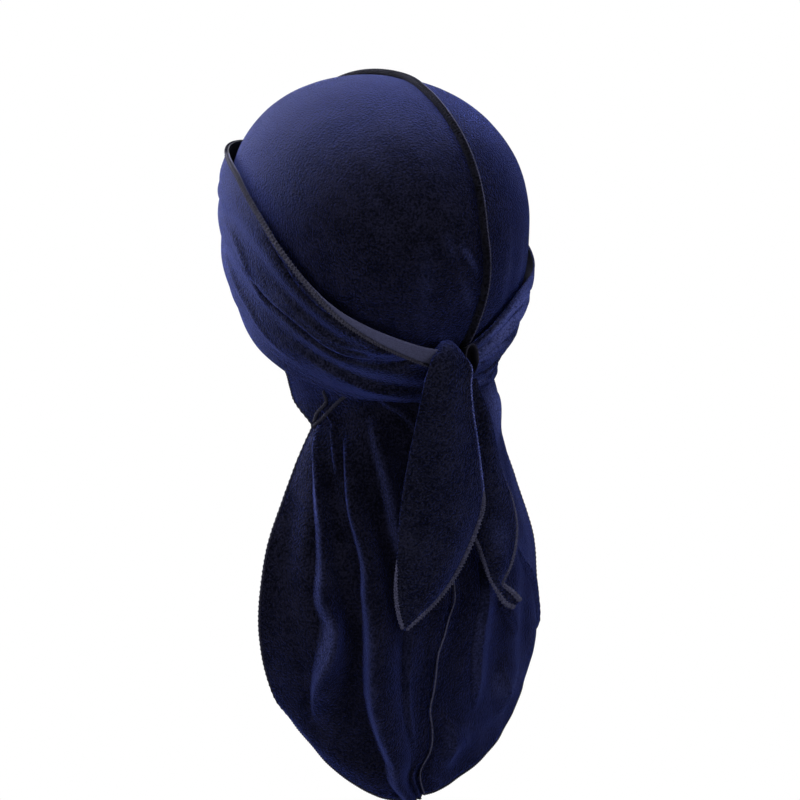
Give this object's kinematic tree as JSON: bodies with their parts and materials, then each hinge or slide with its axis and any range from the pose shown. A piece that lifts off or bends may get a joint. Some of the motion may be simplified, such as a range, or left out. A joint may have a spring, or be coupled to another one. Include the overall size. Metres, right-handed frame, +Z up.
{
  "type": "durag",
  "caption": "Velvet durag in its worn form: seamed cap, wide straps wrapped round the head and tied at the back, loose ends and a long rounded tail.",
  "frame": {"origin": "inside of the crown's top, where the head carries the cap", "axes": "+Z up, the wearer faces -Y, the wearer's left is +X"},
  "size_m": [0.1972, 0.2056, 0.4045],
  "materials": {
    "panel_velvet": "dark navy velvet with a blue sheen",
    "seam_velvet": "dark navy velvet, folded over a seam",
    "strap_velvet": "dark navy velvet with a matte wrong side"
  },
  "bodies": {
    "root": {"left_panel": "panel_velvet", "right_panel": "panel_velvet", "crown_seam": "seam_velvet", "tail_seam": "seam_velvet", "strap_left": "strap_velvet", "strap_right": "strap_velvet", "knot": "strap_velvet", "strap_left_end": "strap_velvet", "strap_right_end": "strap_velvet"}
  },
  "joints": []
}
